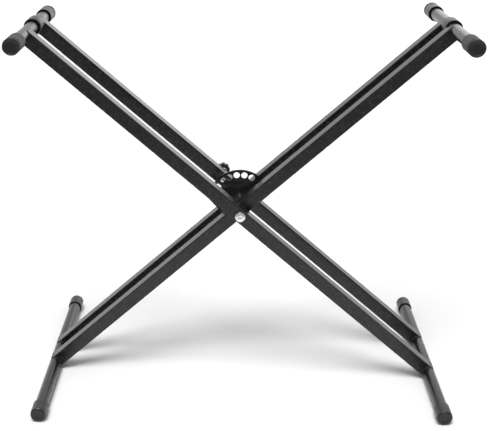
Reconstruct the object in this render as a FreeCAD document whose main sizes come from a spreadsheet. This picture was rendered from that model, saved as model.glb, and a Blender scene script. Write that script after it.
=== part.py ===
import FreeCAD, Part
import math
import os

import Sketcher

# Double-braced folding keyboard stand. Two pairs of square tube legs cross on one pivot bolt.
# +Z is up and Y runs along the bars. The origin is on the floor, under the pivot.
# The outer pair rises to the left, the inner pair to the right. A plunger on the rear outer leg
# drops into one hole of a drilled plate on the rear inner leg, and so sets the height.

doc = FreeCAD.newDocument("keyboard_stand")
V = FreeCAD.Vector
X_AXIS, Y_AXIS, Z_AXIS = V(1, 0, 0), V(0, 1, 0), V(0, 0, 1)

# ---------------------------------------------------------------- driving dimensions (mm, degrees)
SIZES = {
    # frame
    "tube_width": 25.4,          # leg tube, seen from the front
    "tube_depth": 25.4,          # leg tube, along the bars
    "tube_wall": 1.5,
    "tube_corner": 1.4,
    "tube_corner_inside": 0.6,
    "leg_angle": 41.5,           # rise of each leg above the floor, as it stands
    "leg_upper": 522.0,          # pivot to the top bar's centre
    "leg_lower": 496.0,          # pivot to the foot bar's centre
    "inner_half_gap": 19.5,      # middle of the stand to an inner leg's near face
    "leg_gap": 5.0,              # between an inner leg and the outer leg beside it
    "bar_radius": 12.0,
    "bar_wall": 1.5,
    "inner_top_bar_half": 192.0,
    "outer_top_bar_half": 169.0,
    "foot_bar_half": 230.0,
    # rubber
    "cap_radius": 15.5,
    "cap_length": 50.0,
    "cap_end": 6.0,
    "cap_edge": 1.6,
    "dish_depth": 0.9,
    "dish_rim": 1.6,
    "foot_cap_radius": 14.4,
    "foot_cap_length": 34.0,
    "foot_cap_edge": 4.0,
    "sleeve_radius": 16.6,
    "sleeve_length": 38.6,
    "sleeve_edge": 1.2,
    # pivot
    "bolt_radius": 5.0,
    "bolt_head_radius": 9.3,
    "bolt_head_height": 5.0,
    "bolt_dome": 1.8,
    "cross_width": 2.2,
    "cross_depth": 1.6,
    "washer_radius": 11.5,
    "washer_thickness": 1.5,
    "glide_radius": 12.0,
    "nut_flats": 16.0,
    "nut_height": 8.0,
    "bolt_tail": 2.5,
    "bolt_tip": 1.0,
    "spacer_radius": 8.5,
    # height plate
    "plate_thickness": 3.0,
    "plate_radius": 61.5,
    "hole_circle": 51.0,
    "plate_hole": 6.3,
    "hole_pitch": 17.0,
    "hole_count": 7.0,
    "holes_after_rest": 2.0,     # holes beyond the one in use, towards the lowest setting
    "plate_end": 45.0,           # pivot to the plate's square end, along its leg
    "weld_tongue": 24.0,         # plate laid on its leg, measured across the leg
    # lock
    "lock_offset": 6.4,          # pin above the middle line of its leg
    "pin_radius": 4.4,
    "stem_radius": 2.7,
    "pin_reach": 4.4,            # travel from rest to fully home in the plate
    "pin_pull": 9.0,             # travel from rest to fully drawn
    "pin_point": 1.2,
    "housing_radius": 7.5,
    "housing_height": 5.0,
    "housing_edge": 1.0,
    "housing_nose": 1.0,
    "knob_radius": 13.4,
    "knob_length": 13.0,
    "knob_bore_depth": 8.6,
    "knob_lobes": 8.0,
    "scallop_radius": 5.4,
    "scallop_circle": 16.7,
    "knob_edge": 2.0,
    "spring_wire": 0.8,
    "spring_turns": 6.0,
    # clearances
    "run_fit": 0.08,
    "seat_gap": 0.2,
    "clear_gap": 0.4,
}

sheet = doc.addObject("Spreadsheet::Sheet", "Sizes")
for row, (alias, number) in enumerate(SIZES.items(), start=1):
    sheet.set(f"A{row}", alias)
    sheet.set(f"B{row}", str(number))
    sheet.setAlias(f"B{row}", alias)
doc.recompute()


def size(alias):
    return float(sheet.get(alias))


# ---------------------------------------------------------------- sizes worked out from the above
FIRST_DERIVED_ROW = len(SIZES) + 2
DERIVED = {
    "outer_half_gap": "=inner_half_gap + tube_depth + leg_gap",
    "outer_face": "=outer_half_gap + tube_depth",
    "pin_bore": "=pin_radius + run_fit",
    "stem_bore": "=stem_radius + run_fit",
    "bolt_bore": "=bolt_radius + run_fit",
    "cap_bore": "=bar_radius + run_fit",
    "lock_along": "=sqrt(hole_circle ^ 2 - lock_offset ^ 2)",
    "spring_radius": "=(pin_radius + stem_radius) / 2",
    "knob_gap": "=pin_reach + clear_gap",
}
for row, (alias, formula) in enumerate(DERIVED.items(), start=FIRST_DERIVED_ROW):
    sheet.set(f"A{row}", alias)
    sheet.set(f"B{row}", formula)
    sheet.setAlias(f"B{row}", alias)
doc.recompute()

PARTS = []
TOUCH = 0.01       # how near two numbers are when they mean the same place
QUARTERS = 4       # path points in one turn of the spring


def cell(text):
    """A formula in the sheet's aliases, as an object outside the sheet reads it."""
    words = sorted(list(SIZES) + list(DERIVED), key=len, reverse=True)
    out, i = "", 0
    while i < len(text):
        word = next((w for w in words if text.startswith(w, i)), None)
        if word:
            out += f"Sizes.{word}"
            i += len(word)
        else:
            out += text[i]
            i += 1
    return out


def value(text):
    """The number that such a formula gives now."""
    names = {w: size(w) for w in list(SIZES) + list(DERIVED)}
    result = FreeCAD.ActiveDocument.getObject("Probe")
    if result is None:
        result = doc.addObject("App::FeaturePython", "Probe")
        result.addProperty("App::PropertyFloat", "Number")
    for name in sorted(names, key=len, reverse=True):
        if text == name:
            return names[name]
    result.setExpression("Number", cell(text))
    result.recompute()
    return result.Number


def place(obj, label, placement=None):
    """Give a finished piece its name and its place."""
    obj.Label = label
    if placement is not None:
        obj.Placement = placement
    PARTS.append(obj)
    return obj


# ---------------------------------------------------------------- PartDesign helpers
def new_body(name):
    return doc.addObject("PartDesign::Body", name)


def plane_of(body, role):
    return next(f for f in body.Origin.OriginFeatures if f.Role == role)


def new_sketch(body, role, name):
    sketch = body.newObject("Sketcher::SketchObject", name)
    sketch.AttachmentSupport = (plane_of(body, role), [""])
    sketch.MapMode = "FlatFace"
    return sketch


def bind(sketch, index, name, formula):
    sketch.renameConstraint(index, name)
    sketch.setExpression(f"Constraints.{name}", cell(formula))


def circle(sketch, radius, tag, x="0", y="0"):
    """A circle of a bound radius about a bound centre."""
    cx, cy = value(x), value(y)
    geo = sketch.addGeometry(Part.Circle(V(cx, cy, 0), Z_AXIS, value(radius)), False)
    index = sketch.addConstraint(Sketcher.Constraint("Radius", geo, value(radius)))
    bind(sketch, index, f"{tag}_radius", radius)
    for kind, formula, at in (("DistanceX", x, cx), ("DistanceY", y, cy)):
        if formula == "0":
            axis = -2 if kind == "DistanceX" else -1
            sketch.addConstraint(Sketcher.Constraint("PointOnObject", geo, 3, axis))
        else:
            index = sketch.addConstraint(Sketcher.Constraint(kind, -1, 1, geo, 3, at))
            bind(sketch, index, f"{tag}_{kind[-1].lower()}", formula)
    return geo


def outline(sketch, points, tag):
    """A closed outline through bound points, each given as two formulas."""
    numbers = [(value(x), value(y)) for x, y in points]
    count = len(points)
    first = sketch.GeometryCount
    for i in range(count):
        a, b = numbers[i], numbers[(i + 1) % count]
        sketch.addGeometry(Part.LineSegment(V(*a, 0), V(*b, 0)), False)
    for i in range(count):
        sketch.addConstraint(Sketcher.Constraint("Coincident", first + i, 2, first + (i + 1) % count, 1))
    for i, (x, y) in enumerate(points):
        for kind, formula, at, axis in (
            ("DistanceX", x, numbers[i][0], -2),
            ("DistanceY", y, numbers[i][1], -1),
        ):
            if formula == "0":
                sketch.addConstraint(Sketcher.Constraint("PointOnObject", first + i, 1, axis))
            else:
                index = sketch.addConstraint(Sketcher.Constraint(kind, -1, 1, first + i, 1, at))
                bind(sketch, index, f"{tag}{i}_{kind[-1].lower()}", formula)
    return first


def turned(name, points):
    """A body turned about its own X axis from an outline of (along, radius) points."""
    body = new_body(name)
    sketch = new_sketch(body, "XY_Plane", f"{name}_profile")
    outline(sketch, points, "p")
    doc.recompute()
    feature = body.newObject("PartDesign::Revolution", f"{name}_turn")
    feature.Profile = sketch
    feature.ReferenceAxis = (sketch, ["H_Axis"])
    feature.Angle = 360.0
    doc.recompute()
    return body


def disc(name, radius, thickness, bore=None):
    """A washer, ring or round tube that starts on its XY plane and rises along Z."""
    body = new_body(name)
    sketch = new_sketch(body, "XY_Plane", f"{name}_profile")
    circle(sketch, radius, "rim")
    if bore:
        circle(sketch, bore, "bore")
    doc.recompute()
    pad = body.newObject("PartDesign::Pad", f"{name}_pad")
    pad.Profile = sketch
    pad.setExpression("Length", cell(thickness))
    doc.recompute()
    return body


# ---------------------------------------------------------------- places
ANGLE = size("leg_angle")
PIVOT = V(0, 0, size("foot_cap_radius") + size("leg_lower") * math.sin(math.radians(ANGLE)))
ALONG = {
    "inner": FreeCAD.Rotation(Y_AXIS, -ANGLE),
    "outer": FreeCAD.Rotation(Y_AXIS, ANGLE - 180.0),
}
TO_FRONT = FreeCAD.Rotation(Z_AXIS, -90)     # turned bodies: X becomes -Y
TO_REAR = FreeCAD.Rotation(Z_AXIS, 90)       # turned bodies: X becomes +Y
RISE_REAR = FreeCAD.Rotation(X_AXIS, -90)    # discs: Z becomes +Y
OUTER_FACE = value("outer_face")
OUTER_GAP = value("outer_half_gap")
INNER_GAP = size("inner_half_gap")
INNER_FACE = INNER_GAP + size("tube_depth")


def on_leg(pair, along, y=0.0, off=0.0):
    """A point on a leg's centre line, `along` from the pivot towards the top."""
    return PIVOT + ALONG[pair].multVec(V(along, 0, off)) + V(0, y, 0)


# ---------------------------------------------------------------- legs
def leg(pair, side, holes):
    """One square tube, open inside, its ends coped round the bars and drilled across."""
    name = f"{pair}_leg_{side}"
    length = size("leg_upper") + size("leg_lower")
    sign = -1 if side == "front" else 1
    near = {"inner": "inner_half_gap", "outer": "outer_half_gap"}[pair]
    solids = []
    layers = (("skin", "0", "tube_corner"), ("core", "tube_wall", "tube_corner_inside"))
    for skin, inset, corner in layers:
        box = doc.addObject("Part::Box", f"{name}_{skin}")
        box.setExpression("Length", cell("leg_upper + leg_lower"))
        box.setExpression("Width", cell(f"tube_depth - 2 * {inset}"))
        box.setExpression("Height", cell(f"tube_width - 2 * {inset}"))
        start = f"{near} + {inset}" if sign > 0 else f"-{near} - tube_depth + {inset}"
        box.setExpression("Placement.Base.x", cell("-leg_lower"))
        box.setExpression("Placement.Base.y", cell(start))
        box.setExpression("Placement.Base.z", cell(f"-tube_width / 2 + {inset}"))
        doc.recompute()
        round_box = doc.addObject("Part::Fillet", f"{name}_{skin}_rounded")
        round_box.Base = box
        long_edges = [i for i, edge in enumerate(box.Shape.Edges, start=1)
                      if abs(edge.Length - length) < TOUCH]
        round_box.Edges = [(i, size(corner), size(corner)) for i in long_edges]
        solids.append(round_box)
    tools = [solids[1]]
    drills = [("foot", "-leg_lower", "0", "bar_radius"), ("top", "leg_upper", "0", "bar_radius")] + holes
    for tag, along, off, radius in drills:
        drill = doc.addObject("Part::Cylinder", f"{name}_{tag}")
        drill.setExpression("Radius", cell(radius))
        drill.setExpression("Height", cell("4 * outer_face"))
        drill.Placement = FreeCAD.Placement(V(0, 0, 0), RISE_REAR)
        drill.setExpression("Placement.Base.x", cell(along))
        drill.setExpression("Placement.Base.y", cell("-2 * outer_face"))
        drill.setExpression("Placement.Base.z", cell(off))
        tools.append(drill)
    removed = doc.addObject("Part::MultiFuse", f"{name}_tools")
    removed.Shapes = tools
    cut = doc.addObject("Part::Cut", name)
    cut.Base = solids[0]
    cut.Tool = removed
    doc.recompute()
    return place(cut, name, FreeCAD.Placement(PIVOT, ALONG[pair]))


# an outer leg's own Z faces down, so the lock, which lies above its middle line, has a negative offset
PIVOT_HOLE = ("pivot", "0", "0", "bolt_bore")
LOCK_HOLE = ("lock", "lock_along", "-lock_offset", "pin_bore")
leg("inner", "front", [PIVOT_HOLE])
leg("inner", "rear", [PIVOT_HOLE])
leg("outer", "front", [PIVOT_HOLE])
leg("outer", "rear", [PIVOT_HOLE, LOCK_HOLE])


# ---------------------------------------------------------------- bars, end caps and sleeves
def bar(name, half, centre):
    body = new_body(name)
    sketch = new_sketch(body, "XZ_Plane", f"{name}_profile")
    circle(sketch, "bar_radius", "rim")
    circle(sketch, "bar_radius - bar_wall", "bore")
    doc.recompute()
    pad = body.newObject("PartDesign::Pad", f"{name}_pad")
    pad.Profile = sketch
    pad.Midplane = True
    pad.setExpression("Length", cell(f"2 * {half}"))
    doc.recompute()
    place(body, name, FreeCAD.Placement(centre, FreeCAD.Rotation()))


def end_cap(name, kind, half, centre, rotation, sign):
    """A rubber cup over a bar's end, with a shallow dish inside a rounded rim."""
    length, radius, edge = CAPS[kind]
    shoulder = f"{length} - cap_end"
    inner = f"{radius} - {edge} - dish_rim"
    body = turned(name, [
        ("0", "cap_bore"),
        ("0", f"{radius} - cap_edge / 2"),
        ("cap_edge / 2", radius),
        (f"{length} - {edge}", radius),
        (f"{length} - {edge} * (1 - sin(30 deg))", f"{radius} - {edge} * (1 - cos(30 deg))"),
        (f"{length} - {edge} * (1 - sin(60 deg))", f"{radius} - {edge} * (1 - cos(60 deg))"),
        (length, f"{radius} - {edge}"),
        (length, inner),
        (f"{length} - dish_depth", f"{inner} - dish_depth"),
        (f"{length} - dish_depth", "0"),
        (shoulder, "0"),
        (shoulder, "cap_bore"),
    ])
    reach = size(half) - (size(length) - size("cap_end"))
    place(body, name, FreeCAD.Placement(centre + V(0, sign * reach, 0), rotation))


CAPS = {
    "top": ("cap_length", "cap_radius", "cap_edge"),
    "foot": ("foot_cap_length", "foot_cap_radius", "foot_cap_edge"),
}


def sleeve(name, centre, start):
    body = turned(name, [
        ("0", "cap_bore"),
        ("0", "sleeve_radius - sleeve_edge"),
        ("sleeve_edge", "sleeve_radius"),
        ("sleeve_length - sleeve_edge", "sleeve_radius"),
        ("sleeve_length", "sleeve_radius - sleeve_edge"),
        ("sleeve_length", "cap_bore"),
    ])
    place(body, name, FreeCAD.Placement(centre + V(0, start, 0), TO_REAR))


SLEEVE_START = {
    "inner": -size("sleeve_length") / 2,
    "outer": OUTER_GAP - size("seat_gap") - size("sleeve_length"),
}
for pair in ("inner", "outer"):
    top = on_leg(pair, size("leg_upper"))
    foot = on_leg(pair, -size("leg_lower"))
    bar(f"{pair}_top_bar", f"{pair}_top_bar_half", top)
    bar(f"{pair}_foot_bar", "foot_bar_half", foot)
    sleeve(f"{pair}_bar_sleeve", top, SLEEVE_START[pair])
    for side, rotation, sign in (("front", TO_FRONT, -1), ("rear", TO_REAR, 1)):
        end_cap(f"{pair}_top_cap_{side}", "top", f"{pair}_top_bar_half", top, rotation, sign)
        end_cap(f"{pair}_foot_cap_{side}", "foot", "foot_bar_half", foot, rotation, sign)


# ---------------------------------------------------------------- height plate
def height_plate():
    """A part disc with an arc of holes, laid against the rear inner leg's front face.

    In its own frame the leg runs along X, and the holes lie at rising angles from it.
    """
    pitch, count = size("hole_pitch"), int(size("hole_count"))
    at_rest = 180.0 - 2 * ANGLE - math.degrees(math.asin(size("lock_offset") / size("hole_circle")))
    last = at_rest + size("holes_after_rest") * pitch
    first = last - (count - 1) * pitch
    radius, hub, back = size("plate_radius"), size("weld_tongue") / 2, size("plate_end")
    start = V(math.sqrt(radius ** 2 - hub ** 2), -hub, 0)
    crown = V(0, radius, 0)
    end = V(-back, math.sqrt(radius ** 2 - back ** 2), 0)
    corner = V(-back, -hub, 0)
    edges = [
        Part.Arc(start, crown, end).toShape(),
        Part.LineSegment(end, corner).toShape(),
        Part.LineSegment(corner, start).toShape(),
    ]
    plate = Part.Face(Part.Wire(edges)).extrude(V(0, 0, size("plate_thickness")))
    angles = [math.radians(first + i * pitch) for i in range(count)]
    circle_radius = size("hole_circle")
    drills = [(V(circle_radius * math.cos(a), circle_radius * math.sin(a), 0), size("plate_hole"))
              for a in angles]
    drills.append((V(0, 0, 0), value("bolt_bore")))
    for at, drill in drills:
        plate = plate.cut(Part.makeCylinder(drill, size("plate_thickness"), at))
    obj = doc.addObject("Part::Feature", "height_plate")
    obj.Shape = plate
    # the plate's own X lies along the leg and its own Z faces the front
    turn = ALONG["inner"].multiply(FreeCAD.Rotation(X_AXIS, 90))
    place(obj, "height_plate", FreeCAD.Placement(PIVOT + V(0, INNER_GAP, 0), turn))


height_plate()

# ---------------------------------------------------------------- pivot
head_seat = -OUTER_FACE - size("seat_gap") - size("washer_thickness")
tail_seat = OUTER_FACE + size("seat_gap") + size("washer_thickness")


def pivot_bolt():
    """A dome-headed cross-recess bolt through all four legs."""
    shank = "2 * (outer_face + seat_gap + washer_thickness) + nut_height + bolt_tail"
    body = turned("pivot_bolt", [
        ("-bolt_head_height", "0"),
        ("-bolt_head_height", "bolt_head_radius / 2"),
        ("-bolt_head_height + bolt_dome / 3", "bolt_head_radius * 0.75"),
        ("-bolt_head_height + bolt_dome", "bolt_head_radius"),
        ("0", "bolt_head_radius"),
        ("0", "bolt_radius"),
        (f"{shank} - bolt_tip", "bolt_radius"),
        (shank, "bolt_radius - bolt_tip"),
        (shank, "0"),
    ])
    slot = new_sketch(body, "YZ_Plane", "pivot_bolt_cross")
    arm, half = "bolt_head_radius / 2", "cross_width / 2"
    outline(slot, [
        (arm, f"-{half}"), (arm, half), (half, half), (half, arm), (f"-{half}", arm),
        (f"-{half}", half), (f"-{arm}", half), (f"-{arm}", f"-{half}"), (f"-{half}", f"-{half}"),
        (f"-{half}", f"-{arm}"), (half, f"-{arm}"), (half, f"-{half}"),
    ], "c")
    slot.setExpression("AttachmentOffset.Base.z", cell("-bolt_head_height"))
    doc.recompute()
    before = body.Shape.Volume
    pocket = body.newObject("PartDesign::Pocket", "pivot_bolt_recess")
    pocket.Profile = slot
    pocket.Reversed = True
    pocket.setExpression("Length", cell("cross_depth"))
    doc.recompute()
    if body.Shape.Volume > before - 1.0:
        raise RuntimeError("the bolt's cross recess cuts nothing")
    place(body, "pivot_bolt", FreeCAD.Placement(PIVOT + V(0, head_seat, 0), TO_REAR))


def hex_nut():
    body = new_body("pivot_nut")
    sketch = new_sketch(body, "XY_Plane", "pivot_nut_profile")
    corner = "nut_flats / 2 / cos(30 deg)"
    points = []
    for i in range(6):
        points.append((f"{corner} * cos({60 * i} deg)", f"{corner} * sin({60 * i} deg)"))
    points[0] = (corner, "0")
    points[3] = (f"-{corner}", "0")
    outline(sketch, points, "n")
    circle(sketch, "bolt_bore", "bore")
    doc.recompute()
    pad = body.newObject("PartDesign::Pad", "pivot_nut_pad")
    pad.Profile = sketch
    pad.setExpression("Length", cell("nut_height"))
    doc.recompute()
    place(body, "pivot_nut", FreeCAD.Placement(PIVOT + V(0, tail_seat, 0), RISE_REAR))


def ring(label, y, radius, thickness, bore="bolt_bore"):
    place(disc(label, radius, thickness, bore), label,
          FreeCAD.Placement(PIVOT + V(0, y, 0), RISE_REAR))


pivot_bolt()
hex_nut()
ring("pivot_washer_front", head_seat, "washer_radius", "washer_thickness")
ring("pivot_washer_rear", OUTER_FACE + size("seat_gap"), "washer_radius", "washer_thickness")
ring("glide_washer_front", -OUTER_GAP + size("seat_gap"), "glide_radius", "leg_gap - 2 * seat_gap")
ring("glide_washer_rear", INNER_FACE + size("seat_gap"), "glide_radius", "leg_gap - 2 * seat_gap")
ring("pivot_spacer_tube", -INNER_GAP + size("seat_gap"), "spacer_radius",
     "2 * inner_half_gap - plate_thickness - 2 * seat_gap")

# ---------------------------------------------------------------- height lock
PIN_AT = on_leg("outer", value("lock_along"), off=-size("lock_offset"))
pin_tip = INNER_GAP + size("clear_gap")
inner_wall_rear = OUTER_FACE - size("tube_wall")
housing_nose = inner_wall_rear - size("housing_nose")
housing_face = OUTER_FACE + size("seat_gap")
shoulder_at = OUTER_GAP + size("tube_wall") + size("pin_reach") + size("clear_gap")
knob_at = housing_face + size("housing_height") + value("knob_gap")


def part_feature(label, shape):
    obj = doc.addObject("Part::Feature", label)
    obj.Shape = shape
    return obj


def along_y(shapes_start, length, radius):
    """A cylinder about the lock's axis, given from one Y to another."""
    return Part.makeCylinder(radius, length, V(0, shapes_start, 0), Y_AXIS)


def lock_pin():
    """A stepped pin: its thick end locks in the plate and its stem carries the knob."""
    pin, stem, point = size("pin_radius"), size("stem_radius"), size("pin_point")
    head = along_y(pin_tip + point, shoulder_at - pin_tip - point, pin)
    tip = Part.makeCone(pin - point, pin, point, V(0, pin_tip, 0), Y_AXIS)
    rod = along_y(shoulder_at, knob_at + size("knob_bore_depth") - shoulder_at, stem)
    obj = part_feature("lock_pin", head.fuse([tip, rod]).removeSplitter())
    place(obj, "lock_pin", FreeCAD.Placement(PIN_AT, FreeCAD.Rotation()))


def plunger_housing():
    """A flanged guide: its nose passes through the leg's rear wall and seats the spring."""
    outside = along_y(housing_face, size("housing_height"), size("housing_radius"))
    outside = outside.makeChamfer(size("housing_edge"), [max(outside.Edges, key=lambda e: e.BoundBox.YMin)])
    nose = along_y(housing_nose, housing_face - housing_nose, size("pin_radius"))
    guide = outside.fuse(nose).cut(
        along_y(housing_nose, housing_face + size("housing_height") - housing_nose, value("stem_bore")))
    obj = part_feature("plunger_housing", guide.removeSplitter())
    place(obj, "plunger_housing", FreeCAD.Placement(PIN_AT, FreeCAD.Rotation()))


def lock_knob():
    """A round knob with finger scallops, a rounded outer end and a blind bore for the stem."""
    radius, length, edge = size("knob_radius"), size("knob_length"), size("knob_edge")
    knob = along_y(knob_at, length, radius)
    lobes, circle_radius = int(size("knob_lobes")), size("scallop_circle")
    for i in range(lobes):
        turn = 2 * math.pi * (i + 0.5) / lobes
        at = V(circle_radius * math.cos(turn), knob_at, circle_radius * math.sin(turn))
        knob = knob.cut(Part.makeCylinder(size("scallop_radius"), length, at, Y_AXIS))
    end = knob_at + length
    rim = [e for e in knob.Edges
           if abs(e.BoundBox.YMin - end) < TOUCH and abs(e.BoundBox.YMax - end) < TOUCH]
    knob = knob.makeChamfer(edge, rim)
    knob = knob.cut(along_y(knob_at, size("knob_bore_depth"), value("stem_bore")))
    place(part_feature("lock_knob", knob), "lock_knob", FreeCAD.Placement(PIN_AT, FreeCAD.Rotation()))


def arc_through(start, corner, end):
    """The arc that leaves `start` towards `corner` and reaches `end` coming from it."""
    middle = (start + end) * 0.5
    half = start.distanceToPoint(end) / 2
    turn = 2 * math.acos(half / start.distanceToPoint(corner))
    outwards = (corner - middle).normalize()
    return Part.Arc(start, middle + outwards * half * math.tan(turn / 4), end).toShape()


def lock_spring():
    """The coil inside the rear outer leg that pushes the pin towards the plate.

    Each quarter turn is two arcs that share a tangent where they meet.
    """
    wire, turns = size("spring_wire"), size("spring_turns")
    if housing_nose - shoulder_at < size("pin_pull") + (turns + 1) * wire:
        raise RuntimeError("the spring goes solid before the pin is fully drawn")
    start = shoulder_at + wire / 2 + size("seat_gap")
    room = housing_nose - wire / 2 - size("seat_gap") - start
    mean, steps = value("spring_radius"), int(turns * QUARTERS)
    rise = room / (2 * math.pi * turns)
    points, headings = [], []
    for i in range(steps + 1):
        a = 2 * math.pi * i / QUARTERS
        points.append(V(mean * math.cos(a), mean * math.sin(a), rise * a))
        headings.append(V(-mean * math.sin(a), mean * math.cos(a), rise).normalize())
    edges = []
    for i in range(steps):
        p, q, t, u = points[i], points[i + 1], headings[i], headings[i + 1]
        span, bend = (q - p).dot(t + u), 2 * (1 - t.dot(u))
        reach = (math.sqrt(span ** 2 + bend * (q - p).dot(q - p)) - span) / bend
        corner_in, corner_out = p + t * reach, q - u * reach
        joint = (corner_in + corner_out) * 0.5
        edges += [arc_through(p, corner_in, joint), arc_through(joint, corner_out, q)]
    section = Part.Wire([Part.makeCircle(wire / 2, points[0], headings[0])])
    coil = Part.Wire(edges).makePipeShell([section], True)
    length = sum(e.Length for e in edges)
    print(f"spring: gap between turns {room / turns - wire:.2f}, volume over section times length "
          f"{coil.Volume / (math.pi * wire ** 2 / 4 * length):.4f}")
    obj = part_feature("lock_spring", coil)
    place(obj, "lock_spring", FreeCAD.Placement(PIN_AT + V(0, start, 0), RISE_REAR))


lock_pin()
plunger_housing()
lock_knob()
lock_spring()

# ---------------------------------------------------------------- check and write
doc.recompute()
for obj in doc.Objects:
    if any(state in ("Invalid", "Error") for state in obj.State):
        raise RuntimeError(f"{obj.Name} failed: {obj.State}")
os.makedirs("parts", exist_ok=True)
for obj in PARTS:
    shape = obj.Shape
    if shape.isNull() or not shape.isValid() or not shape.Solids:
        raise RuntimeError(f"{obj.Label} has no valid shape")
    shape.exportStep(f"parts/{obj.Label}.step")
    box = shape.BoundBox
    print(f"{obj.Label:24s} solids {len(shape.Solids)} volume {shape.Volume:10.1f} "
          f"x {box.XMin:7.1f} {box.XMax:7.1f} y {box.YMin:7.1f} {box.YMax:7.1f} "
          f"z {box.ZMin:7.1f} {box.ZMax:7.1f}")
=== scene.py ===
"""Looks for a double-braced folding keyboard stand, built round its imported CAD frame.

Two pairs of square tube legs cross on a zinc bolt. Round bars with rubber caps join the pairs at
the top and at the feet. A spring plunger with a pull knob drops into a drilled plate.
"""

import math

import bmesh
import bpy
from mathutils import Matrix, Vector


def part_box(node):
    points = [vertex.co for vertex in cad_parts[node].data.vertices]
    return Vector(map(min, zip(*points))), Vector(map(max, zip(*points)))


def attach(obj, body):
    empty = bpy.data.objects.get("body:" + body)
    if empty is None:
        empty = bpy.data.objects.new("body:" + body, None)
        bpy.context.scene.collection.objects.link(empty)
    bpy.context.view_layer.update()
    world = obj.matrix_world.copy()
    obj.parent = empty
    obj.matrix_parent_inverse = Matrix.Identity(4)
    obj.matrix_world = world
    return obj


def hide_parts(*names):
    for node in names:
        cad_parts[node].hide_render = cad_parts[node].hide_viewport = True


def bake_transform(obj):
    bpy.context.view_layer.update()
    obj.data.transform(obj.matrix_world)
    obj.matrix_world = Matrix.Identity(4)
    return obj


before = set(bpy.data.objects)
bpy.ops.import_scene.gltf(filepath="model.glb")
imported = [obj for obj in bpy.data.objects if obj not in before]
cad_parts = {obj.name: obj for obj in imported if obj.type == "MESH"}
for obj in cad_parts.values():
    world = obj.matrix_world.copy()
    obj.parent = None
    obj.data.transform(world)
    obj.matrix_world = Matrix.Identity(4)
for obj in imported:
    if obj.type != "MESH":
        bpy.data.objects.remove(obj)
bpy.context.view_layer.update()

bl_info = {
    "name": "Folding keyboard stand",
    "version": (1, 0, 0),
    "blender": (4, 5, 0),
    "location": "3D View > Sidebar > Keyboard stand",
    "description": "Builds the finished surfaces of a double-braced folding keyboard stand",
    "category": "Add Mesh",
}

MM = 0.001
TAU = 2 * math.pi
TINY = 1e-7
PAIRS = ("inner", "outer")
SIDES = ("front", "rear")
BODY = {"inner": "inner_frame", "outer": "outer_frame"}


# ---------------------------------------------------------------- places read from the CAD frame
def axis_of(node, along=0.0):
    """The point at one Y on the line in Y through the middle of a CAD node."""
    low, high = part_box(node)
    point = (low + high) / 2
    point.y = along
    return point


PIVOT = axis_of("pivot_spacer_tube")
BAR_LOW, BAR_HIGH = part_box("inner_top_bar")
BAR_RADIUS = (BAR_HIGH.z - BAR_LOW.z) / 2


# ---------------------------------------------------------------- settings a user would change
class StandFinish(bpy.types.PropertyGroup):
    """Colours and gloss of the stand"""
    paint: bpy.props.FloatVectorProperty(
        name="Paint", description="Powder coat on the tubes, bars and height plate",
        subtype="COLOR", size=3, min=0.0, max=1.0, default=(0.0052, 0.0052, 0.0055))
    paint_roughness: bpy.props.FloatProperty(
        name="Paint roughness", description="How satin the powder coat is",
        min=0.05, max=1.0, default=0.27)
    # Pale colour painted along the edges: partly rubbed wear, partly a painted highlight.
    worn_and_highlight: bpy.props.FloatVectorProperty(
        name="Worn paint", description="Paint rubbed pale along the edges",
        subtype="COLOR", size=3, min=0.0, max=1.0, default=(0.05, 0.05, 0.052))
    rubber: bpy.props.FloatVectorProperty(
        name="Rubber", description="Moulded caps and sleeves",
        subtype="COLOR", size=3, min=0.0, max=1.0, default=(0.005, 0.005, 0.0053))
    zinc: bpy.props.FloatVectorProperty(
        name="Zinc plate", description="Bolt, nut, spacer, lock pin and its housing",
        subtype="COLOR", size=3, min=0.0, max=1.0, default=(0.83, 0.84, 0.86))
    knob: bpy.props.FloatVectorProperty(
        name="Knob plastic", description="Pull knob of the lock",
        subtype="COLOR", size=3, min=0.0, max=1.0, default=(0.012, 0.012, 0.013))
    dust: bpy.props.FloatProperty(
        name="Dust", description="Dust settled on what faces up",
        subtype="FACTOR", min=0.0, max=1.0, default=0.02)


class StandForm(bpy.types.PropertyGroup):
    """Small shapes of the stand"""
    corner: bpy.props.FloatProperty(
        name="Tube corner", description="Outside corner radius of the square leg tube",
        unit="LENGTH", min=0.0005, max=0.006, default=1.4 * MM)
    wall: bpy.props.FloatProperty(
        name="Tube wall", description="Wall of the leg tubes and the bars",
        unit="LENGTH", min=0.0008, max=0.004, default=1.5 * MM)
    bead: bpy.props.FloatProperty(
        name="Weld bead", description="Radius of the weld round each leg end",
        unit="LENGTH", min=0.0005, max=0.003, default=0.9 * MM)
    ribs: bpy.props.IntProperty(
        name="Cap ribs", description="Ribs round each top cap", min=12, max=80, default=26)
    rib_depth: bpy.props.FloatProperty(
        name="Rib depth", description="Depth of the grooves between the ribs",
        unit="LENGTH", min=0.0001, max=0.001, default=0.9 * MM)
    lobes: bpy.props.IntProperty(
        name="Knob lobes", description="Finger lobes round the pull knob",
        min=4, max=16, default=8)


# ---------------------------------------------------------------- mesh helpers
WELD_DISTANCE = 0.002 * MM
FLAT_WITHIN = math.radians(0.5)
EASE_OVER = math.radians(30.0)
WIRE_STEPS = 8


def finish_mesh(bm, name, sharp_over=34.0):
    """A mesh with outward faces, smooth except where it turns by more than so many degrees."""
    bmesh.ops.recalc_face_normals(bm, faces=bm.faces)
    mesh = bpy.data.meshes.new(name)
    bm.to_mesh(mesh)
    bm.free()
    mesh.shade_smooth()
    mesh.set_sharp_from_angle(angle=math.radians(sharp_over))
    return mesh


def link_new(name, data):
    """A new object for a mesh, light or camera, linked to the scene."""
    item = bpy.data.objects.new(name, data)
    bpy.context.scene.collection.objects.link(item)
    return item


def add_piece(name, mesh, body, finish, node):
    """Put a finished mesh in the scene, on its body, in place of its CAD node."""
    piece = link_new(name, mesh)
    piece.data.materials.append(material_for(finish))
    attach(piece, body)
    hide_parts(node)


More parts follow.
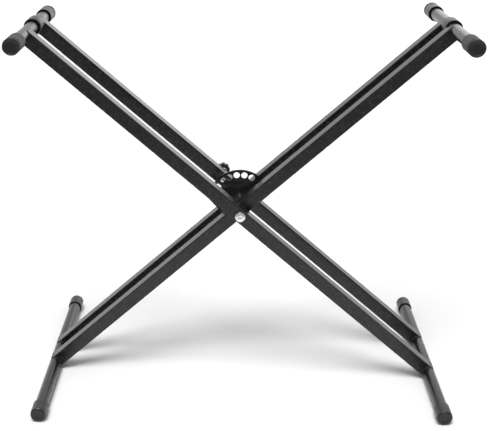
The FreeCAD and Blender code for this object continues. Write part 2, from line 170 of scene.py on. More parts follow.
def bridge(bm, ring, following):
    """Faces between two closed rings, either of which may be a single point."""
    count = max(len(ring), len(following))
    if count == 1:
        return
    for i in range(count):
        j = (i + 1) % count
        corners = [ring[i % len(ring)], ring[j % len(ring)]]
        corners += [following[j % len(following)], following[i % len(following)]]
        corners = [c for k, c in enumerate(corners) if c not in corners[:k]]
        bm.faces.new(corners)


def bridge_round(bm, rings):
    """Faces from each ring to the next, and from the last back to the first."""
    for ring, following in zip(rings, rings[1:] + rings[:1]):
        bridge(bm, ring, following)


def wire_ring(bm, point, heading, out, radius):
    """A ring of vertices round one point of a bead or wire, square to its heading."""
    out = (out - heading * out.dot(heading)).normalized()
    side = heading.cross(out)
    ring = []
    for i in range(WIRE_STEPS):
        turn = TAU * i / WIRE_STEPS
        spoke = out * math.cos(turn) + side * math.sin(turn)
        ring.append(bm.verts.new(point + spoke * radius))
    return ring


def turned_mesh(name, profile, centre, steps, sign=1.0, shaped=None, sharp_over=34.0):
    """A closed profile of (along, radius) points, turned about the line in Y through centre.

    shaped gives the radius at (turn, along, radius) where the piece isn't quite round.
    """
    bm = bmesh.new()
    rings = []
    for along, radius in profile:
        ring = []
        for i in range(steps if radius > TINY else 1):
            turn = TAU * i / steps
            r = shaped(turn, along, radius) if shaped else radius
            spoke = Vector((r * math.cos(turn), sign * along, r * math.sin(turn)))
            ring.append(bm.verts.new(centre + spoke))
        rings.append(ring)
    bridge_round(bm, rings)
    return finish_mesh(bm, name, sharp_over)


def arc_points(along, radius, reach, start, end, steps):
    """Profile points on an arc about (along, radius), from one angle to another in degrees."""
    points = []
    for i in range(steps + 1):
        turn = math.radians(start + (end - start) * i / steps)
        points.append((along + reach * math.sin(turn), radius + reach * math.cos(turn)))
    return points


def hollow_between(count, turn, power):
    """0 on each of so many ribs or lobes, rising to 1 in the hollows between them."""
    return ((1 - math.cos(count * turn)) / 2) ** power


def add_eased(name, node, body, slot, finish, width):
    """A piece in its CAD node's shape, facets joined and sharp edges eased by so many mm."""
    bm = bmesh.new()
    bm.from_mesh(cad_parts[node].data)
    bmesh.ops.remove_doubles(bm, verts=bm.verts, dist=WELD_DISTANCE)
    bmesh.ops.dissolve_limit(bm, angle_limit=FLAT_WITHIN, verts=bm.verts, edges=bm.edges)
    joined = [edge for edge in bm.edges if len(edge.link_faces) == 2]
    sharp = [edge for edge in joined if edge.calc_face_angle() > EASE_OVER]
    bmesh.ops.bevel(bm, geom=sharp, offset=width * MM, offset_type="OFFSET", segments=2,
                    profile=0.5, affect="EDGES", clamp_overlap=True)
    add_piece(name, finish_mesh(bm, f"{node}_eased"), body, finish, node)


# ---------------------------------------------------------------- shader nodes
def feed(tree, socket, item):
    """Link a socket to another one, or set it to a plain value."""
    if isinstance(item, bpy.types.NodeSocket):
        tree.links.new(item, socket)
    else:
        socket.default_value = item


def group_tree(name, inputs, outputs):
    """A new node group: its tree, the sockets of the values given to it, and those it puts out."""
    tree = bpy.data.node_groups.new(name, "ShaderNodeTree")
    for label, default in inputs.items():
        socket = tree.interface.new_socket(label, in_out="INPUT", socket_type="NodeSocketFloat")
        socket.default_value = default
    for label in outputs:
        tree.interface.new_socket(label, in_out="OUTPUT", socket_type="NodeSocketFloat")
    given = tree.nodes.new("NodeGroupInput").outputs
    return tree, given, tree.nodes.new("NodeGroupOutput").inputs


def noise(tree, scale, detail=3.0, roughness=0.5):
    """Noise over the piece's own coordinates."""
    node = tree.nodes.new("ShaderNodeTexNoise")
    feed(tree, node.inputs["Scale"], scale)
    node.inputs["Detail"].default_value = detail
    node.inputs["Roughness"].default_value = roughness
    place = tree.nodes.new("ShaderNodeTexCoord").outputs["Object"]
    tree.links.new(place, node.inputs["Vector"])
    return node.outputs["Fac"]


def spread(tree, value, low, high, out_low=0.0, out_high=1.0):
    """Map a value's range on to another, clamped."""
    node = tree.nodes.new("ShaderNodeMapRange")
    node.inputs["From Min"].default_value = low
    node.inputs["From Max"].default_value = high
    node.inputs["To Min"].default_value = out_low
    node.inputs["To Max"].default_value = out_high
    tree.links.new(value, node.inputs["Value"])
    return node.outputs["Result"]


def combine(tree, operation, first, *others):
    """A Math node on links or numbers, and one more for each after the second."""
    for item in others or (0.0,):
        node = tree.nodes.new("ShaderNodeMath")
        node.operation = operation
        feed(tree, node.inputs[0], first)
        feed(tree, node.inputs[1], item)
        first = node.outputs[0]
    return first


def parts_of(tree, node_type, output):
    """The X, Y and Z of one output of a new node."""
    parts = tree.nodes.new("ShaderNodeSeparateXYZ")
    tree.links.new(tree.nodes.new(node_type).outputs[output], parts.inputs["Vector"])
    return parts.outputs["X"], parts.outputs["Y"], parts.outputs["Z"]


# ---------------------------------------------------------------- shader groups
GRAIN_OUTPUTS = ("Height", "Gloss", "Tone")


def edge_wear_and_highlight_group():
    """Rubbed wear and painted highlight on edges: corners of the shape, broken up by noise."""
    tree, given, out = group_tree("Edge wear", {"Amount": 0.5, "Breakup": 160.0}, ["Mask"])
    pointiness = tree.nodes.new("ShaderNodeNewGeometry").outputs["Pointiness"]
    corners = spread(tree, pointiness, 0.515, 0.57)
    patches = spread(tree, noise(tree, given["Breakup"], detail=4.0), 0.45, 0.68)
    feed(tree, out["Mask"], combine(tree, "MULTIPLY", corners, patches, given["Amount"]))
    return tree


def settled_dust_group():
    """Dust on what faces up, thicker in patches."""
    tree, given, out = group_tree("Settled dust", {"Amount": 0.2}, ["Mask"])
    upward = parts_of(tree, "ShaderNodeNewGeometry", "Normal")[2]
    facing = spread(tree, upward, 0.35, 0.95)
    patches = spread(tree, noise(tree, 22.0, detail=5.0, roughness=0.6), 0.35, 0.7, 0.25, 1.0)
    specks = spread(tree, noise(tree, 900.0, detail=2.0), 0.62, 0.7, 0.6, 1.6)
    mask = combine(tree, "MULTIPLY", facing, patches, specks, given["Amount"])
    feed(tree, out["Mask"], mask)
    return tree


def powder_grain_group():
    """The fine orange peel of powder coat, with slow changes of gloss and tone."""
    tree, given, out = group_tree("Powder grain", {"Gloss spread": 0.05}, GRAIN_OUTPUTS)
    peel = combine(tree, "MULTIPLY", noise(tree, 1500.0, detail=2.0, roughness=0.55), 0.6)
    lumps = combine(tree, "MULTIPLY", noise(tree, 420.0, detail=2.0), 0.4)
    drift = spread(tree, noise(tree, 9.0), 0.3, 0.7, -1.0, 1.0)
    tone = spread(tree, noise(tree, 60.0, detail=4.0, roughness=0.6), 0.3, 0.7)
    feed(tree, out["Height"], combine(tree, "ADD", peel, lumps))
    feed(tree, out["Gloss"], combine(tree, "MULTIPLY", drift, given["Gloss spread"]))
    feed(tree, out["Tone"], tone)
    return tree


def moulded_grain_group():
    """The skin of moulded rubber or plastic: fine grain, flow marks and cloudy tone."""
    tree, given, out = group_tree("Moulded grain", {"Grain": 2200.0}, GRAIN_OUTPUTS)
    grain = combine(tree, "MULTIPLY", noise(tree, given["Grain"]), 0.7)
    flow = combine(tree, "MULTIPLY", noise(tree, 130.0, roughness=0.6), 0.3)
    tone = spread(tree, noise(tree, 70.0, detail=5.0, roughness=0.65), 0.3, 0.7)
    feed(tree, out["Height"], combine(tree, "ADD", grain, flow))
    feed(tree, out["Gloss"], spread(tree, noise(tree, 45.0), 0.3, 0.7, -0.07, 0.07))
    feed(tree, out["Tone"], tone)
    return tree


def turned_zinc_group():
    """Bright zinc: faint turning rings about the bolt's line, and cloudy passivation."""
    tree, given, out = group_tree("Turned zinc", {"Ring count": 2400.0}, GRAIN_OUTPUTS)
    across, _, height = parts_of(tree, "ShaderNodeTexCoord", "Object")
    lift = combine(tree, "SUBTRACT", height, PIVOT.z)
    squares = combine(tree, "ADD", combine(tree, "MULTIPLY", across, across),
                      combine(tree, "MULTIPLY", lift, lift))
    phase = combine(tree, "MULTIPLY", combine(tree, "SQRT", squares), given["Ring count"])
    rings = combine(tree, "MULTIPLY", combine(tree, "SINE", phase), 0.25)
    clouds = noise(tree, 260.0, detail=4.0, roughness=0.6)
    tone = spread(tree, noise(tree, 420.0, detail=4.0, roughness=0.6), 0.3, 0.7)
    feed(tree, out["Height"], combine(tree, "ADD", rings, clouds))
    feed(tree, out["Gloss"], spread(tree, clouds, 0.3, 0.7, -0.06, 0.08))
    feed(tree, out["Tone"], tone)
    return tree


GROUP_MAKERS = {
    "Edge wear": edge_wear_and_highlight_group,
    "Settled dust": settled_dust_group,
    "Powder grain": powder_grain_group,
    "Moulded grain": moulded_grain_group,
    "Turned zinc": turned_zinc_group,
}


def effect(tree, name, **values):
    """Place one of the shared groups in a material, with that material's own values."""
    node = tree.nodes.new("ShaderNodeGroup")
    node.node_tree = bpy.data.node_groups.get(name) or GROUP_MAKERS[name]()
    for label, number in values.items():
        node.inputs[label.replace("_", " ")].default_value = number
    return node.outputs


# ---------------------------------------------------------------- materials
DUST_COLOUR = (0.32, 0.31, 0.29)
DUST_ROUGHENS = 0.5


def colour_mix(tree, mask, first, second):
    """A blend of two colours, each a link or an RGB triple."""
    node = tree.nodes.new("ShaderNodeMix")
    node.data_type = "RGBA"
    sockets = [s for s in node.inputs if s.type == "RGBA"]
    for socket, item in zip(sockets, (first, second)):
        feed(tree, socket, item if isinstance(item, bpy.types.NodeSocket) else (*item, 1.0))
    tree.links.new(mask, node.inputs["Factor"])
    return next(s for s in node.outputs if s.type == "RGBA")


def new_material(name, **constants):
    """A new material, its tree and its shader with constants set on the shader's own sockets."""
    material = bpy.data.materials.new(name)
    material.use_nodes = True
    tree = material.node_tree
    shader = tree.nodes["Principled BSDF"]
    for label, value in constants.items():
        shader.inputs[label.replace("_", " ")].default_value = value
    return material, tree, shader


def surface(name, grain, base, roughness, dust, bump, wear_and_highlight=None, worn_and_highlight=None, tones=(0.88, 1.12),
            **constants):
    """A material from one grain group and the shared effects.

    grain and the mask of pale edges are a group's values, bump is a strength and a distance in mm,
    the edge colour is painted partly as rubbed wear and partly as a highlight, and tones are the
    darkest and lightest factors on the base colour.
    """
    material, tree, shader = new_material(name, **constants)
    group, values = grain
    grain = effect(tree, group, **values)
    colour = colour_mix(tree, grain["Tone"], *([c * tone for c in base] for tone in tones))
    # Pale edges, painted partly as rubbed wear and partly as a highlight along every edge.
    if wear_and_highlight:
        colour = colour_mix(tree, effect(tree, "Edge wear", **wear_and_highlight)["Mask"], colour, worn_and_highlight)
    dusty = effect(tree, "Settled dust", Amount=dust)["Mask"]
    dull = combine(tree, "MULTIPLY", dusty, DUST_ROUGHENS)
    rough = combine(tree, "ADD", grain["Gloss"], roughness, dull)
    relief = tree.nodes.new("ShaderNodeBump")
    relief.inputs["Strength"].default_value = bump[0]
    relief.inputs["Distance"].default_value = bump[1] * MM
    tree.links.new(grain["Height"], relief.inputs["Height"])
    tree.links.new(colour_mix(tree, dusty, colour, DUST_COLOUR), shader.inputs["Base Color"])
    tree.links.new(rough, shader.inputs["Roughness"])
    tree.links.new(relief.outputs["Normal"], shader.inputs["Normal"])
    return material


def satin_paint(look):
    """Satin black powder coat, painted pale on its edges: partly rubbed wear, partly a painted
    highlight.
    """
    return surface("satin_black_paint", ("Powder grain", {"Gloss_spread": 0.015}), look.paint,
                   roughness=look.paint_roughness, dust=look.dust, bump=(0.12, 0.05),
                   wear_and_highlight={"Amount": 0.35, "Breakup": 170.0}, worn_and_highlight=look.worn_and_highlight, IOR=1.5)


def black_rubber(look):
    """Moulded black rubber, dull with a soft sheen, its edges paler: rubbed wear and painted
    highlight.
    """
    return surface("moulded_black_rubber", ("Moulded grain", {"Grain": 2000.0}), look.rubber,
                   roughness=0.4, dust=look.dust * 2.0, bump=(0.25, 0.06),
                   wear_and_highlight={"Amount": 0.4, "Breakup": 240.0}, worn_and_highlight=(0.06, 0.06, 0.06), IOR=1.52)


def bright_zinc(look):
    """Bright zinc plate with faint turning marks, its edges paler: rubbed wear and painted
    highlight.
    """
    return surface("bright_zinc", ("Turned zinc", {"Ring_count": 2400.0}), look.zinc,
                   roughness=0.24, dust=0.02, bump=(0.1, 0.02),
                   wear_and_highlight={"Amount": 0.6, "Breakup": 300.0}, worn_and_highlight=(0.92, 0.92, 0.93),
                   tones=(0.95, 1.02), Metallic=1.0)


def knob_plastic(look):
    """Fine-textured black plastic of the pull knob, its edges paler: rubbed wear and painted
    highlight.
    """
    return surface("textured_black_plastic", ("Moulded grain", {"Grain": 1500.0}), look.knob,
                   roughness=0.42, dust=look.dust, bump=(0.35, 0.1),
                   wear_and_highlight={"Amount": 0.5, "Breakup": 200.0}, worn_and_highlight=(0.05, 0.05, 0.05), IOR=1.46)


def glide_nylon(look):
    """Smooth black nylon of the washers at the pivot."""
    return surface("smooth_black_nylon", ("Moulded grain", {"Grain": 900.0}), (0.03, 0.03, 0.03),
                   roughness=0.36, dust=0.03, bump=(0.15, 0.05))


def spring_steel(look):
    """Bright drawn wire of the plunger's spring."""
    return surface("drawn_spring_wire", ("Turned zinc", {"Ring_count": 5200.0}),
                   (0.55, 0.56, 0.58), roughness=0.3, dust=0.03, bump=(0.2, 0.02), Metallic=1.0)


MATERIAL_MAKERS = {
    "paint": satin_paint,
    "rubber": black_rubber,
    "zinc": bright_zinc,
    "knob": knob_plastic,
    "nylon": glide_nylon,
    "wire": spring_steel,
}
MATERIALS = {}


def material_for(finish):
    """The material of a finish, made when it is first asked for."""
    if finish not in MATERIALS:
        MATERIALS[finish] = MATERIAL_MAKERS[finish](bpy.context.scene.stand_finish)
    return MATERIALS[finish]


# ---------------------------------------------------------------- legs and bars
CORNER_STEPS = 5
FACE_STEPS = 10
INNER_CORNER = 0.5
BEAD_RIPPLE = 2.4 * MM
RIPPLE_STEPS = 4
RIPPLE_SWELL = 0.14
UNEVEN_SWELL = 0.10
UNEVEN_RATE = 0.37
BAR_STEPS = 72
BAR_EASE = 0.4 * MM


def square_section(half, corner):
    """Points round a rounded square, as (off, across)."""
    points = []
    flat = half - corner
    for side in range(4):
        turn = side * TAU / 4
        cos, sin = math.cos(turn), math.sin(turn)
        run = [(half, -flat + 2 * flat * i / FACE_STEPS) for i in range(FACE_STEPS)]
        for i in range(CORNER_STEPS):
            t = TAU / 4 * i / CORNER_STEPS
            run.append((flat + corner * math.cos(t), flat + corner * math.sin(t)))
        points += [(x * cos - y * sin, x * sin + y * cos) for x, y in run]
    return points


def cope(off):
    """How far short of the bar's centre the tube ends, at this distance off the leg's middle."""
    return math.sqrt(max(BAR_RADIUS ** 2 - off ** 2, 0.0))


def evenly_spaced(loop, lengths, count):
    """So many points evenly spaced along a closed loop, whose edges have these lengths."""
    points, i, passed = [], 0, 0.0
    total = sum(lengths)
    for k in range(count):
        target = total * k / count
        while passed + lengths[i] < target:
            passed += lengths[i]
            i += 1
        share = (target - passed) / lengths[i]
        points.append(loop[i].lerp(loop[(i + 1) % len(loop)], share))
    return points


def add_bead(bm, loop, radius):
    """A rippled weld bead along a closed loop of points."""
    lengths = [(after - point).length for point, after in zip(loop, loop[1:] + loop[:1])]
    ripples = round(sum(lengths) / BEAD_RIPPLE)
    count = ripples * RIPPLE_STEPS
    points = evenly_spaced(loop, lengths, count)
    middle = sum(points, Vector()) / count
    rings = []
    for k, point in enumerate(points):
        heading = (points[(k + 1) % count] - points[k - 1]).normalized()
        ripple = RIPPLE_SWELL * math.sin(TAU * ripples * k / count)
        swell = radius * (1.0 + ripple + UNEVEN_SWELL * math.sin(k * UNEVEN_RATE))
        rings.append(wire_ring(bm, point, heading, point - middle, swell))
    bridge_round(bm, rings)


def leg_mesh(pair, side):
    """A square tube with rounded corners, coped and welded to the bar at each end."""
    form = bpy.context.scene.stand_form
    low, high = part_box(f"{pair}_leg_{side}")
    half, middle = (high.y - low.y) / 2, (high.y + low.y) / 2
    foot, top = axis_of(f"{pair}_foot_bar"), axis_of(f"{pair}_top_bar")
    along = (top - foot).normalized()
    off_axis = Vector((-along.z, 0.0, along.x))
    if off_axis.z < 0:
        off_axis = -off_axis
    length = (top - foot).length
    bm = bmesh.new()
    rings = {}
    for skin, inset in (("out", 0.0), ("in", form.wall)):
        section = square_section(half - inset, form.corner - inset * INNER_CORNER)
        for end in ("foot", "top"):
            ring = []
            for off, across in section:
                at = cope(off) if end == "foot" else length - cope(off)
                place = foot + along * at + off_axis * off + Vector((0, middle + across, 0))
                ring.append(bm.verts.new(place))
            rings[skin, end] = ring
    order = (("out", "foot"), ("out", "top"), ("in", "top"), ("in", "foot"))
    bridge_round(bm, [rings[key] for key in order])
    for end in ("foot", "top"):
        add_bead(bm, [v.co.copy() for v in rings["out", end]], form.bead)
    return finish_mesh(bm, f"leg_{pair}_{side}", 40.0)


class STAND_OT_legs(bpy.types.Operator):
    """Build the four square tube legs"""
    bl_idname = "stand.legs"
    bl_label = "Legs"

    def execute(self, context):
        for pair in PAIRS:
            for side in SIDES:
                add_piece(f"leg_{pair}_{side}", leg_mesh(pair, side), BODY[pair],
                          "paint", f"{pair}_leg_{side}")
        return {"FINISHED"}


class STAND_OT_bars(bpy.types.Operator):
    """Build the round bars that join each pair of legs"""
    bl_idname = "stand.bars"
    bl_label = "Bars"

    def execute(self, context):
        bore = BAR_RADIUS - context.scene.stand_form.wall
        for pair in PAIRS:
            for end in ("top", "foot"):
                node = f"{pair}_{end}_bar"
                low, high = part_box(node)
                half = (high.y - low.y) / 2
                profile = [(-half, bore + BAR_EASE), (-half, BAR_RADIUS - BAR_EASE),
                           (BAR_EASE - half, BAR_RADIUS), (half - BAR_EASE, BAR_RADIUS),
                           (half, BAR_RADIUS - BAR_EASE), (half, bore + BAR_EASE),
                           (half - BAR_EASE, bore), (BAR_EASE - half, bore)]
                mesh = turned_mesh(node, profile, axis_of(node), BAR_STEPS)
                add_piece(f"bar_{pair}_{end}", mesh, BODY[pair], "paint", node)
        return {"FINISHED"}


# ---------------------------------------------------------------- rubber
CAP_BORE = BAR_RADIUS + 0.08 * MM
CAP_END = 6.0 * MM
CAP_LIP = 0.8 * MM
CAP_RIM = 1.0 * MM
CAP_NECK = 1.2 * MM
CAP_STEPS = 72
RUBBER_SHARP = 48.0
MOUTH_FLARE = 1.9 * MM
MOUTH_DEPTH = 2.6 * MM
MOUTH = [(MOUTH_DEPTH, CAP_BORE), (MOUTH_DEPTH * 0.3, CAP_BORE + MOUTH_FLARE * 0.6),
         (0.0, CAP_BORE + MOUTH_FLARE)]
RIB_STEPS = 6
RIBS_FADE = (CAP_LIP + 1.6 * MM, CAP_LIP + 2.6 * MM)
GROOVE = 1.5 * MM
# How far before the neck each point lies in mm, and the share of the groove's depth there.
GROOVED = ((6.2, 0.0), (5.9, 0.2), (5.5, 1.0), (0.8, 1.0), (0.4, 0.2), (0.0, 0.0))
PLAIN = ((1.0, 0.0), (0.0, 0.0))
DISH = 0.9 * MM
# The share of the dish's depth at each point, and how far inside the rim the point lies in mm.
DISH_EDGE = ((0.0, 0.0), (0.35, 0.35), (1.0, 1.0))
SLEEVE_EDGE = 1.2 * MM
SLEEVE_STEPS = 96


def cap_profile(length, radius, rounding, neck, bands):
    """A cup over a bar's end: mouth at 0, closed face at length, with a dish in the face."""
    profile = [*MOUTH, (0.0, radius - CAP_LIP)]
    profile += arc_points(CAP_LIP, radius - CAP_LIP, CAP_LIP, -60, 0, 3)
    profile += [(along, radius) for along in RIBS_FADE]
    profile += [(neck - back * MM, radius - GROOVE * share) for back, share in bands]
    profile += arc_points(length - rounding, radius - rounding, rounding, 0, 90, 6)
    rim = radius - rounding - CAP_RIM
    profile += [(length - DISH * share, rim - inside * MM) for share, inside in DISH_EDGE]
    profile += [(length - DISH * 1.15, rim * 0.45), (length - DISH * 1.2, 0.0)]
    profile += [(length - CAP_END, 0.0), (length - CAP_END, CAP_BORE)]
    return profile


def build_caps(end, rounding, grooved):
    """The four caps on the top or foot bars. The grooved ones are ribbed as well."""
    form = bpy.context.scene.stand_form
    for pair in PAIRS:
        for side, sign in (("front", -1.0), ("rear", 1.0)):
            node = f"{pair}_{end}_cap_{side}"
            low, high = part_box(node)
            length, radius = high.y - low.y, (high.z - low.z) / 2
            mouth = axis_of(f"{pair}_{end}_bar", low.y if sign > 0 else high.y)
            neck = length - rounding - CAP_NECK
            ribs_end = neck - GROOVED[0][0] * MM

            def ribbed(turn, along, r, radius=radius, ribs_end=ribs_end):
                if r < radius - TINY or not RIBS_FADE[0] + TINY < along < ribs_end + TINY:
                    return r
                return r - form.rib_depth * hollow_between(form.ribs, turn, 2)

            profile = cap_profile(length, radius, rounding, neck, GROOVED if grooved else PLAIN)
            steps = form.ribs * RIB_STEPS if grooved else CAP_STEPS
            mesh = turned_mesh(node, profile, mouth, steps, sign, ribbed if grooved else None,
                               RUBBER_SHARP)
            add_piece(f"cap_{pair}_{end}_{side}", mesh, BODY[pair], "rubber", node)


class STAND_OT_top_caps(bpy.types.Operator):
    """Build the ribbed rubber caps on the top bars"""
    bl_idname = "stand.top_caps"
    bl_label = "Top caps"

    def execute(self, context):
        build_caps("top", rounding=1.6 * MM, grooved=True)
        return {"FINISHED"}


class STAND_OT_foot_caps(bpy.types.Operator):
    """Build the smooth rubber caps that stand on the floor"""
    bl_idname = "stand.foot_caps"
    bl_label = "Foot caps"

    def execute(self, context):
        build_caps("foot", rounding=4.0 * MM, grooved=False)
        return {"FINISHED"}


class STAND_OT_sleeves(bpy.types.Operator):
    """Build the rubber sleeve on each top bar"""
    bl_idname = "stand.sleeves"
    bl_label = "Sleeves"

    def execute(self, context):
        for pair in PAIRS:
            node = f"{pair}_bar_sleeve"
            low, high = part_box(node)
            length, outside = high.y - low.y, (high.z - low.z) / 2
            shoulder = outside - SLEEVE_EDGE
            profile = [*MOUTH, (0.0, shoulder)]
            profile += arc_points(SLEEVE_EDGE, shoulder, SLEEVE_EDGE, -60, 0, 3)
            profile += arc_points(length - SLEEVE_EDGE, shoulder, SLEEVE_EDGE, 0, 60, 3)
            profile += [(length, shoulder)]
            profile += [(length - along, radius) for along, radius in reversed(MOUTH)]
            mesh = turned_mesh(node, profile, axis_of(f"{pair}_top_bar", low.y), SLEEVE_STEPS,
                               sharp_over=RUBBER_SHARP)
            add_piece(f"sleeve_{pair}", mesh, BODY[pair], "rubber", node)
        return {"FINISHED"}


# ---------------------------------------------------------------- plate and pivot
# Each CAD node at the pivot, its body, slot and finish, and how far its edges are eased in mm.
PIVOT_PARTS = (
    ("pivot_bolt", "outer_frame", "zinc_steel", "zinc", 0.25),
    ("pivot_nut", "outer_frame", "zinc_steel", "zinc", 0.5),
    ("pivot_spacer_tube", "inner_frame", "zinc_steel", "zinc", 0.3),
    ("glide_washer_front", "inner_frame", "glide_nylon", "nylon", 0.3),
    ("pivot_washer_front", "outer_frame", "glide_nylon", "nylon", 0.3),
    ("glide_washer_rear", "inner_frame", "glide_nylon", "nylon", 0.3),
    ("pivot_washer_rear", "outer_frame", "glide_nylon", "nylon", 0.3),
)


class STAND_OT_height_plate(bpy.types.Operator):
    """Build the drilled plate that sets the height"""
    bl_idname = "stand.height_plate"
    bl_label = "Height plate"

    def execute(self, context):
        add_eased("plate_height", "height_plate", "inner_frame", "painted_plate", "paint", 0.35)
        return {"FINISHED"}


class STAND_OT_pivot(bpy.types.Operator):
    """Build the pivot bolt, nut, washers and spacer"""
    bl_idname = "stand.pivot"
    bl_label = "Pivot"

    def execute(self, context):
        for node, *settings in PIVOT_PARTS:
            add_eased(f"{node}_finished", node, *settings)
        return {"FINISHED"}


# ---------------------------------------------------------------- lock
KNOB_STEPS = 160
KNOB_BORE = 2.8 * MM
KNOB_CHAMFER = 0.4 * MM
KNOB_EDGE = 1.0 * MM
KNOB_ROUNDING = 3.0 * MM
# How deep the dimple in the knob's end is in mm, at each share of the knob's radius.
KNOB_DIMPLE = ((0.0, 0.7), (0.5, 0.55), (0.9, 0.3), (1.0, 0.0))
LOBE_DEPTH = 1.9 * MM
LOBE_FROM = 0.6
WIRE_RADIUS = 0.4 * MM
SPRING_TURNS = 6
SPRING_STEPS = 240
PIN_PULL = 9.0 * MM
HALVINGS = 40


def knob_mesh():
    """A pull knob with soft finger lobes, a rounded end and a shallow dimple."""
    lobes = bpy.context.scene.stand_form.lobes
    low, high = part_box("lock_knob")
    radius, length = (high.x - low.x) / 2, high.y - low.y
    profile = [(KNOB_CHAMFER, KNOB_BORE), (0.0, KNOB_BORE + KNOB_CHAMFER)]
    profile += [(0.0, radius - KNOB_EDGE)]
    profile += arc_points(KNOB_EDGE, radius - KNOB_EDGE, KNOB_EDGE, -60, 0, 3)
    profile += [(length * 0.4, radius), (length - KNOB_ROUNDING - 0.2 * MM, radius)]
    profile += arc_points(length - KNOB_ROUNDING, radius - KNOB_ROUNDING, KNOB_ROUNDING, 10, 84, 7)
    profile += [(length - depth * MM, radius * share) for depth, share in KNOB_DIMPLE]
    profile += [(length * 0.72, 0.0), (length * 0.7, KNOB_BORE)]

    def lobed(turn, along, r):
        share = max(0.0, (r - radius * LOBE_FROM) / (radius * (1.0 - LOBE_FROM)))
        return r - LOBE_DEPTH * hollow_between(lobes, turn, 2.2) * share

    return turned_mesh("lock_knob_lobed", profile, axis_of("lock_knob", low.y), KNOB_STEPS,
                       shaped=lobed, sharp_over=48.0)


def even_when_pressed(share, length):
    """Where on the coil at rest a point lies that is this share of the way when it is pressed."""
    low, high = 0.0, 1.0
    for _ in range(HALVINGS):
        middle = (low + high) / 2
        carried = 1 - middle * middle * (3 - 2 * middle)
        if middle * length + PIN_PULL * carried < PIN_PULL + share * (length - PIN_PULL):
            low = middle
        else:
            high = middle
    return low


def spring_mesh():
    """A coil whose middle turns stand further apart, because drawing the pin closes them most."""
    low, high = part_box("lock_spring")
    start = axis_of("lock_pin", low.y + WIRE_RADIUS)
    length = high.y - low.y - 2 * WIRE_RADIUS
    mean = (high.x - low.x) / 2 - WIRE_RADIUS
    line = []
    for k in range(SPRING_STEPS + 1):
        share = k / SPRING_STEPS
        turn = TAU * SPRING_TURNS * share
        along = length * (share + even_when_pressed(share, length)) / 2
        line.append(start + Vector((mean * math.cos(turn), along, mean * math.sin(turn))))
    bm = bmesh.new()
    rings = []
    for k, point in enumerate(line):
        heading = (line[min(k + 1, SPRING_STEPS)] - line[max(k - 1, 0)]).normalized()
        out = point - start
        out.y = 0.0
        rings.append(wire_ring(bm, point, heading, out, WIRE_RADIUS))
    for ring, following in zip(rings, rings[1:]):
        bridge(bm, ring, following)
    for ring in (rings[0], rings[-1]):
        bm.faces.new(ring)
    return finish_mesh(bm, "lock_spring_coil")


class STAND_OT_lock(bpy.types.Operator):
    """Build the spring plunger that locks the height"""
    bl_idname = "stand.lock"
    bl_label = "Height lock"

    def execute(self, context):
        add_piece("knob_lobed", knob_mesh(), "lock_plunger", "knob", "lock_knob")
        add_eased("pin_finished", "lock_pin", "lock_plunger", "zinc_steel", "zinc", 0.2)
        add_eased("housing_finished", "plunger_housing", "outer_frame", "zinc_steel", "zinc", 0.25)
        spring = link_new("spring_coil", spring_mesh())
        spring.data.materials.append(material_for("wire"))
        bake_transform(spring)
        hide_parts("lock_spring")
        return {"FINISHED"}


# ---------------------------------------------------------------- stage
IMAGE_WIDTH = 488
SENSOR_WIDTH = 36.0
CAMERA_FROM_PIVOT = Vector((-0.00999, -1.80417, 0.67532))
CAMERA_YAW, CAMERA_PITCH, CAMERA_ROLL = -1.579, 16.602, -0.428
CAMERA_FOCAL_PIXELS = 980.61
CAMERA_SHIFT_PIXELS = (34.97, -80.08)
CAMERA_SEES_TO = 100.0
FLOOR_LEFT, FLOOR_RIGHT = -12.0, 12.0
FLOOR_FRONT, FLOOR_BACK = -1.1, 12.0
FLOOR_COLOUR = (0.97, 0.97, 0.97, 1.0)
AMBIENT = 0.5
FRONT_LIGHT = 0.4
FRONT_FADE = (-0.75, -0.1)
SUN_TOWARDS = (0.09, 0.36, -1.0)
SUN_SPREAD = 30.0
SUN_STRENGTH = 2.35
SOFTBOX_PLACE = (1.3, 5.5, 1.8)
SOFTBOX_TARGET = (0.0, 0.0, 0.4)
SOFTBOX_SIZE = (2.6, 2.4)
SOFTBOX_POWER = 19.0


def add_camera():
    """The camera fitted to the photo, with its picture shifted as the photo's crop is."""
    yaw, pitch, roll = (math.radians(a) for a in (CAMERA_YAW, CAMERA_PITCH, CAMERA_ROLL))
    flat = math.cos(pitch)
    forward = Vector((math.sin(yaw) * flat, math.cos(yaw) * flat, -math.sin(pitch)))
    level = Vector((math.cos(yaw), -math.sin(yaw), 0.0))
    up = level.cross(forward)
    right = level * math.cos(roll) + up * math.sin(roll)
    up = up * math.cos(roll) - level * math.sin(roll)
    data = bpy.data.cameras.new("camera")
    data.sensor_width = SENSOR_WIDTH
    data.lens = CAMERA_FOCAL_PIXELS / IMAGE_WIDTH * SENSOR_WIDTH
    data.shift_x, data.shift_y = (shift / IMAGE_WIDTH for shift in CAMERA_SHIFT_PIXELS)
    data.clip_end = CAMERA_SEES_TO
    camera = link_new("camera", data)
    turn = Matrix((right, up, -forward)).transposed()
    camera.matrix_world = Matrix.Translation(PIVOT + CAMERA_FROM_PIVOT) @ turn.to_4x4()
    bpy.context.scene.camera = camera


def add_light(name, kind, towards):
    """A light of one kind that shines along a direction."""
    lamp = link_new(name, bpy.data.lights.new(name, kind))
    lamp.rotation_mode = "QUATERNION"
    lamp.rotation_quaternion = Vector(towards).to_track_quat("-Z", "Y")
    return lamp


def add_lights():
    """A broad, even light from above, and a large panel behind that shows in the gloss."""
    sun = add_light("overhead", "SUN", SUN_TOWARDS)
    sun.data.angle = math.radians(SUN_SPREAD)
    sun.data.energy = SUN_STRENGTH
    panel = add_light("rear_right", "AREA", Vector(SOFTBOX_TARGET) - Vector(SOFTBOX_PLACE))
    panel.location = SOFTBOX_PLACE
    panel.data.shape = "RECTANGLE"
    panel.data.size, panel.data.size_y = SOFTBOX_SIZE
    panel.data.energy = SOFTBOX_POWER
    panel.visible_camera = False


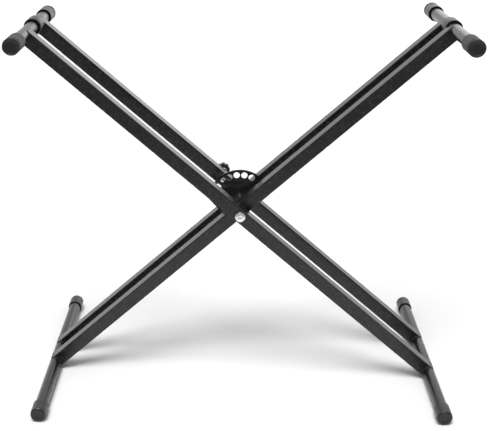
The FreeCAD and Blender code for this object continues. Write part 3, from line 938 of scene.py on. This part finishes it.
def add_world():
    """White where the camera looks, also through glass, and plain soft light elsewhere.

    Gloss shows the white too, but dimmer in front of the stand, so that its near faces stay dark.
    """
    world = bpy.data.worlds.new("studio")
    world.use_nodes = True
    tree = world.node_tree
    background = tree.nodes["Background"]
    background.inputs["Color"].default_value = (1.0, 1.0, 1.0, 1.0)
    path = tree.nodes.new("ShaderNodeLightPath").outputs
    seen = combine(tree, "MAXIMUM", path["Is Camera Ray"], path["Is Transmission Ray"])
    depth = parts_of(tree, "ShaderNodeTexCoord", "Generated")[1]
    room = spread(tree, depth, *FRONT_FADE, FRONT_LIGHT, 1.0)
    light = spread(tree, path["Is Glossy Ray"], 0.0, 1.0, AMBIENT, 1.0)
    strength = combine(tree, "MAXIMUM", combine(tree, "MULTIPLY", light, room), seen)
    tree.links.new(strength, background.inputs["Strength"])
    bpy.context.scene.world = world


def add_floor():
    """A pale floor that runs far back and to both sides, and ends before the camera."""
    bm = bmesh.new()
    corners = ((FLOOR_LEFT, FLOOR_FRONT), (FLOOR_RIGHT, FLOOR_FRONT),
               (FLOOR_RIGHT, FLOOR_BACK), (FLOOR_LEFT, FLOOR_BACK))
    bm.faces.new([bm.verts.new((x, y, 0.0)) for x, y in corners])
    floor = link_new("floor", finish_mesh(bm, "floor"))
    material, _, shader = new_material("white_floor", Roughness=1.0, Specular_IOR_Level=0.0)
    shader.inputs["Base Color"].default_value = FLOOR_COLOUR
    floor.data.materials.append(material)


class STAND_OT_stage(bpy.types.Operator):
    """Build the white floor, the soft light and the camera"""
    bl_idname = "stand.stage"
    bl_label = "Stage"

    def execute(self, context):
        add_floor()
        add_world()
        add_lights()
        add_camera()
        bpy.context.scene.view_settings.view_transform = "Standard"
        return {"FINISHED"}


# ---------------------------------------------------------------- add-on
OPERATORS = (
    STAND_OT_legs, STAND_OT_bars, STAND_OT_top_caps, STAND_OT_foot_caps, STAND_OT_sleeves,
    STAND_OT_height_plate, STAND_OT_pivot, STAND_OT_lock, STAND_OT_stage,
)


class STAND_PT_panel(bpy.types.Panel):
    """Lists the settings and the steps that build the stand"""
    bl_idname = "STAND_PT_panel"
    bl_label = "Keyboard stand"
    bl_space_type = "VIEW_3D"
    bl_region_type = "UI"
    bl_category = "Keyboard stand"

    def draw(self, context):
        column = self.layout.column()
        for group in (context.scene.stand_finish, context.scene.stand_form):
            for name in group.__annotations__:
                column.prop(group, name)
        for operator in OPERATORS:
            column.operator(operator.bl_idname)


CLASSES = (StandFinish, StandForm) + OPERATORS + (STAND_PT_panel,)


def register():
    """Register the settings, the operators and the panel."""
    for cls in CLASSES:
        bpy.utils.register_class(cls)
    bpy.types.Scene.stand_finish = bpy.props.PointerProperty(type=StandFinish)
    bpy.types.Scene.stand_form = bpy.props.PointerProperty(type=StandForm)


def unregister():
    """Take away all that register added."""
    del bpy.types.Scene.stand_form
    del bpy.types.Scene.stand_finish
    for cls in reversed(CLASSES):
        bpy.utils.unregister_class(cls)


def main():
    register()
    for operator in OPERATORS:
        family, name = operator.bl_idname.split(".")
        getattr(getattr(bpy.ops, family), name)()


if __name__ == "__main__":
    main()
